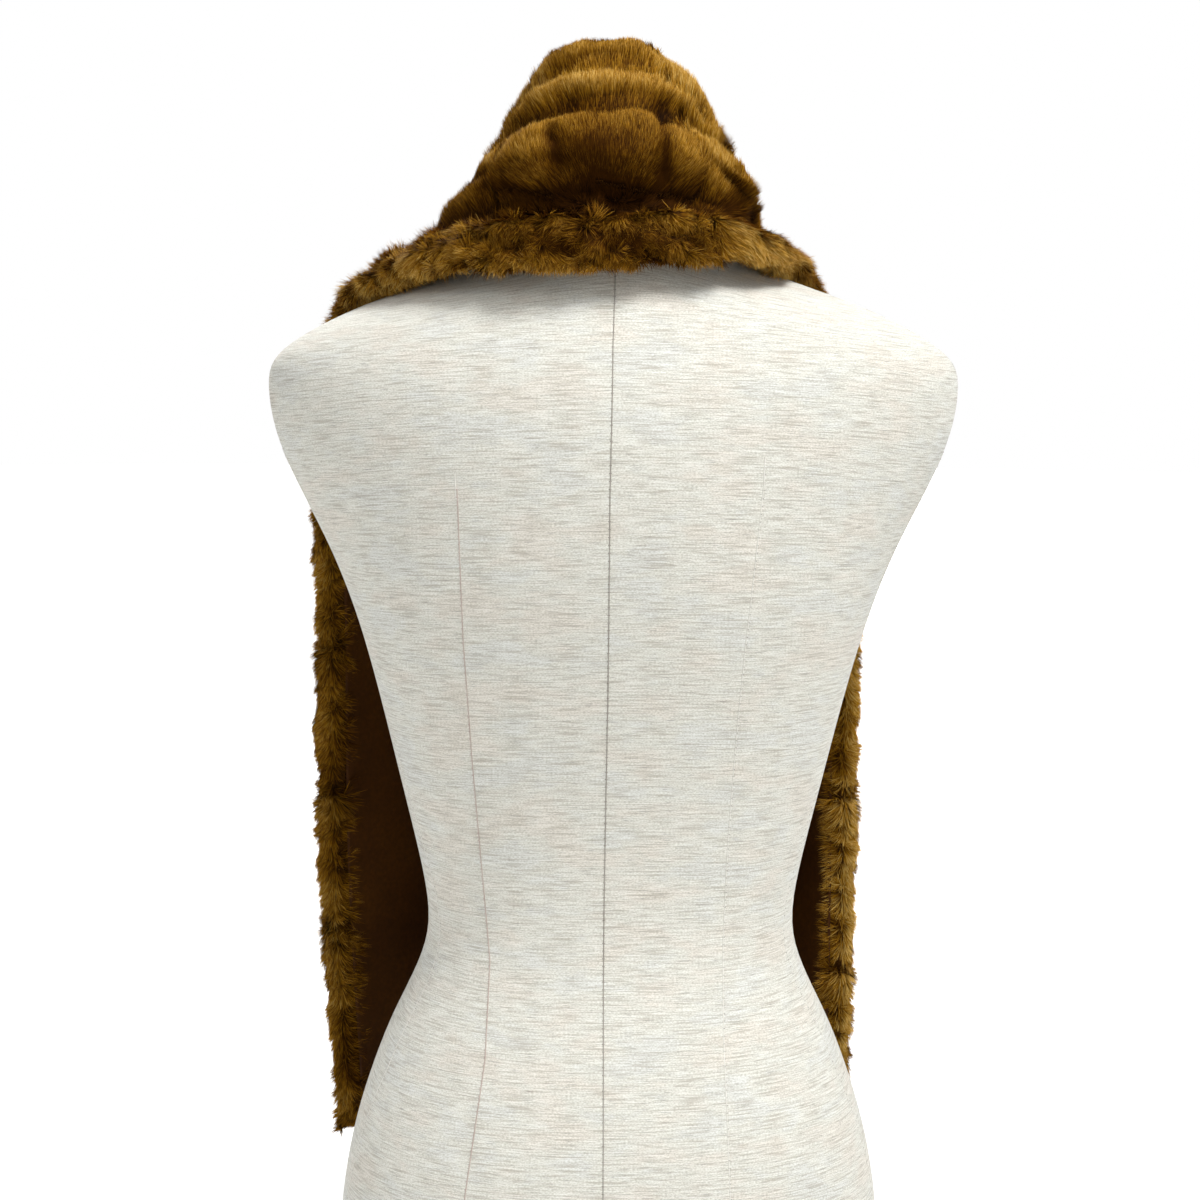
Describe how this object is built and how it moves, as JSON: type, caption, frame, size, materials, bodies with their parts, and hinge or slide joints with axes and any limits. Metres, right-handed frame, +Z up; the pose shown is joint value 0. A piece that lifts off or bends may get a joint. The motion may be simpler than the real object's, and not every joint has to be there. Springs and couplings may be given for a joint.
{
  "type": "fur collar wrap on a dress form",
  "caption": "Long sheared-fur wrap of sewn pelts over a thin lining, standing up round the neck and hanging in two fronts, on a limbless dress form with a flat base.",
  "frame": {"origin": "middle of the overall box, on the surface that the dress form's flat base stands on", "axes": "+Z up, -Y the way the dress form faces, +X the wearer's left"},
  "size_m": [0.389, 0.2774, 0.7647],
  "materials": {
    "fur": "dense sheared fur, golden brown tips over dark brown roots",
    "lining": "smooth dark caramel lining with a low sheen",
    "linen": "matt off-white linen knit with brown and grey slubs"
  },
  "bodies": {
    "root": {"dress_form": "linen", "pelt_right_hem": "fur", "pelt_right_hip": "fur", "pelt_right_waist": "fur", "pelt_right_bust": "fur", "pelt_right_chest": "fur", "pelt_right_shoulder": "fur", "pelt_right_neck": "fur", "pelt_nape": "fur", "pelt_left_neck": "fur", "pelt_left_shoulder": "fur", "pelt_left_chest": "fur", "pelt_left_bust": "fur", "pelt_left_waist": "fur", "pelt_left_hip": "fur", "pelt_left_hem": "fur", "lining_right_front": "lining", "lining_collar": "lining", "lining_left_front": "lining"}
  },
  "joints": []
}
